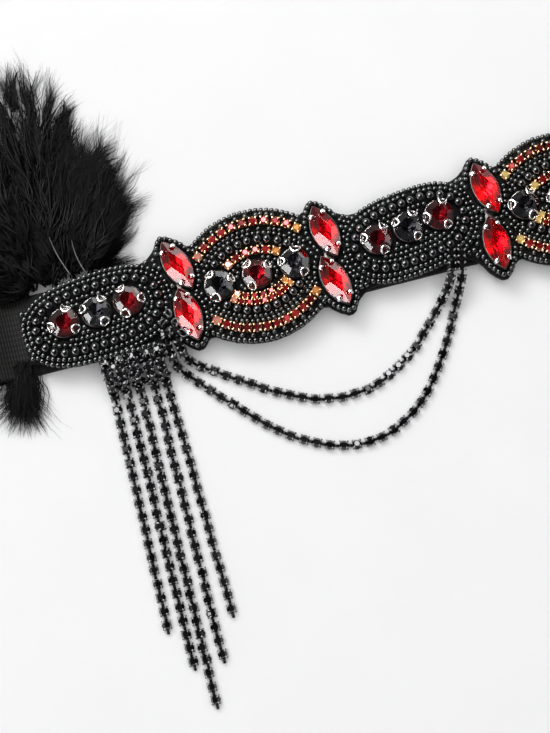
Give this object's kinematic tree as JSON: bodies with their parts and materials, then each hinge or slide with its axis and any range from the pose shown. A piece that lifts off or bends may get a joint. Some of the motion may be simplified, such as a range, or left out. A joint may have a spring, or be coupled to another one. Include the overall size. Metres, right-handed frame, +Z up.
{
  "type": "flapper feather headband",
  "caption": "Beaded headband on a folded elastic loop, with set red and black stones, a crystal chain fringe, two chain swags and a black feather plume.",
  "frame": {"origin": "on the surface it lies on, under the middle of the beadwork, at the elastic loop's underside", "axes": "+X along the band, away from the plume; +Y across the band, the way the plume rises; +Z up, out of the beadwork"},
  "size_m": [0.2658, 0.201, 0.0106],
  "materials": {
    "elastic": "woven black elastic, matte, with fine ribs along its length",
    "felt": "black felt, matte, slightly fuzzy",
    "seed_beads": "opaque black glass seed beads with a faint green lustre",
    "pearls": "near-black round beads with a soft blue-green lustre",
    "rhinestone_trim": "rose-gold claws round small red crystals",
    "red_stone": "clear bright red cut stone",
    "dark_red_stone": "clear deep red cut stone",
    "black_stone": "jet black cut stone",
    "silver_setting": "polished silver claw setting",
    "gunmetal_chain": "gunmetal cup chain with jet crystals",
    "feather": "black marabou and coque feather, soft, with a faint sheen"
  },
  "bodies": {
    "root": {"bead_bed_l1": "seed_beads", "bead_bed_l2": "seed_beads", "bead_bed_l3": "seed_beads", "bead_bed_m1": "seed_beads", "bead_bed_m2": "seed_beads", "bead_rows_m1_lower": "rhinestone_trim", "bead_rows_m1_upper": "rhinestone_trim", "bead_rows_m2_lower": "rhinestone_trim", "bead_rows_m2_upper": "rhinestone_trim", "crystal_fringe": "gunmetal_chain", "elastic_band": "elastic", "feather_plume": "feather", "felt_backing": "felt", "marquise_p1_lower": "red_stone", "marquise_p1_upper": "red_stone", "marquise_p2_lower": "red_stone", "marquise_p2_upper": "red_stone", "marquise_p3_lower": "red_stone", "marquise_p3_upper": "red_stone", "marquise_p4_lower": "red_stone", "marquise_p4_upper": "red_stone", "marquise_setting_p1": "silver_setting", "marquise_setting_p2": "silver_setting", "marquise_setting_p3": "silver_setting", "marquise_setting_p4": "silver_setting", "pearl_ring_l1": "pearls", "pearl_ring_l2": "pearls", "pearl_ring_l3": "pearls", "setting_l1_left": "silver_setting", "setting_l1_middle": "silver_setting", "setting_l1_right": "silver_setting", "setting_l2_left": "silver_setting", "setting_l2_middle": "silver_setting", "setting_l2_right": "silver_setting", "setting_l3_left": "silver_setting", "setting_l3_middle": "silver_setting", "setting_l3_right": "silver_setting", "setting_m1_left": "silver_setting", "setting_m1_middle": "silver_setting", "setting_m1_right": "silver_setting", "setting_m2_left": "silver_setting", "setting_m2_middle": "silver_setting", "setting_m2_right": "silver_setting", "stone_l1_left": "dark_red_stone", "stone_l1_middle": "black_stone", "stone_l1_right": "dark_red_stone", "stone_l2_left": "dark_red_stone", "stone_l2_middle": "black_stone", "stone_l2_right": "dark_red_stone", "stone_l3_left": "dark_red_stone", "stone_l3_middle": "black_stone", "stone_l3_right": "dark_red_stone", "stone_m1_left": "black_stone", "stone_m1_middle": "dark_red_stone", "stone_m1_right": "black_stone", "stone_m2_left": "black_stone", "stone_m2_middle": "dark_red_stone", "stone_m2_right": "black_stone", "swag_inner": "gunmetal_chain", "swag_outer": "gunmetal_chain"}
  },
  "joints": []
}
